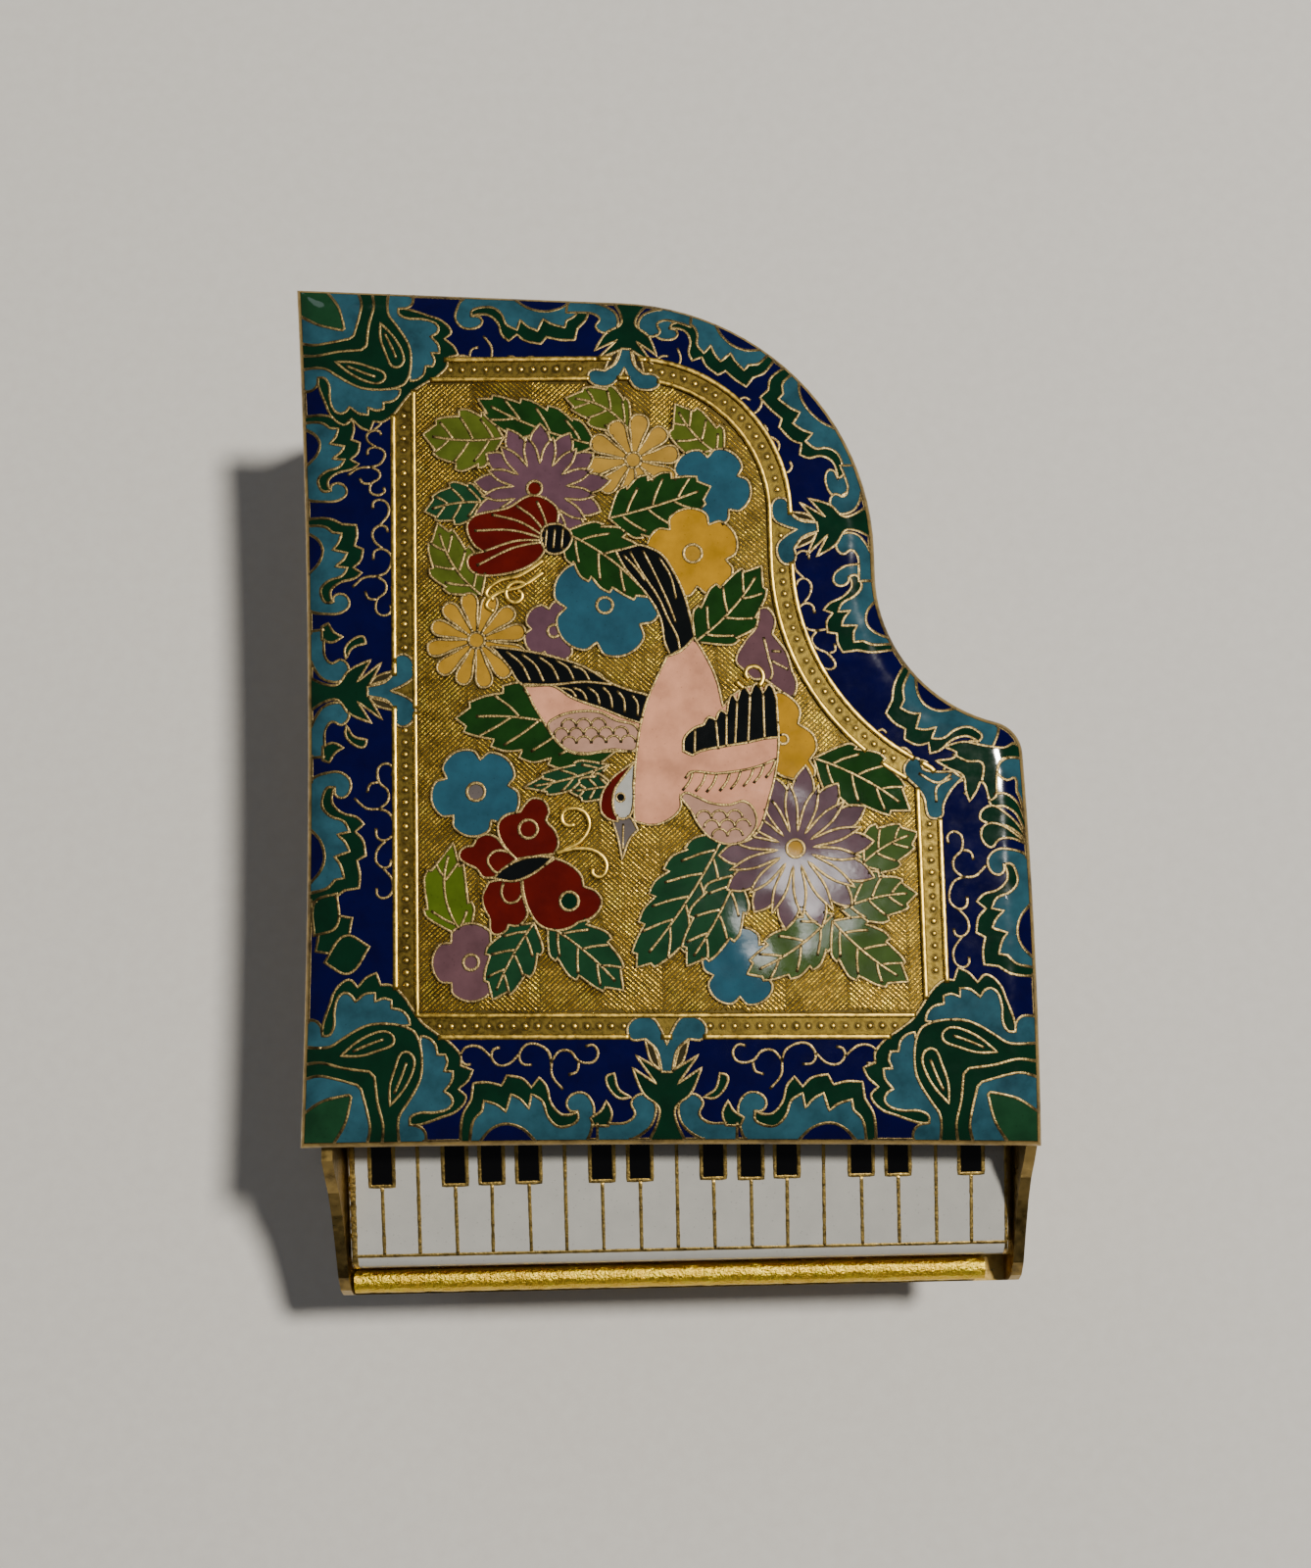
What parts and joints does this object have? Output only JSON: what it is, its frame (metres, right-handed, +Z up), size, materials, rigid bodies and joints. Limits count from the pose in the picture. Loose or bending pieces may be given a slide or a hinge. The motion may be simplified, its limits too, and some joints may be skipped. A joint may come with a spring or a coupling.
{
  "type": "piano-shaped enamel box",
  "caption": "Small hollow box shaped like a grand piano, with a lift-off enamelled lid, a sloping keyboard plate and turned brass legs.",
  "frame": {"origin": "middle of the bounding box at the underside of the feet", "axes": "+Z up, +Y from the keyboard towards the tail, +X towards the bent side"},
  "size_m": [0.0668, 0.0948, 0.0382],
  "materials": {
    "navy_enamel": "glossy navy cloisonné enamel with gilt wires and coloured enamel figures, over a copper sheet",
    "aged_brass": "satin aged brass with navy enamel bands on the outer walls",
    "key_enamel": "glossy white and black enamel keys divided by fine gilt wires, over a copper sheet",
    "gilt_brass": "bright gilt brass, cast and brushed",
    "leg_brass": "turned brass, lightly aged",
    "wire_gilt": "soft gilt partition wires, worn and lightly toned",
    "gilt_ground": "chased gilt ground with fine diagonal strokes and beads",
    "turquoise_enamel": "glossy turquoise enamel",
    "dark_green_enamel": "glossy dark green enamel",
    "leaf_enamel": "glossy leaf green, light green and grey-green enamels",
    "flower_enamel": "glossy yellow, orange, blue, lilac, red and pink enamels",
    "dark_enamel": "glossy black enamel"
  },
  "bodies": {
    "root": {"lid": "navy_enamel", "case": "aged_brass", "keyboard_plate": "key_enamel", "key_slip": "gilt_brass", "leg_front_left": "leg_brass", "leg_front_right": "leg_brass", "leg_tail": "leg_brass"}
  },
  "joints": []
}
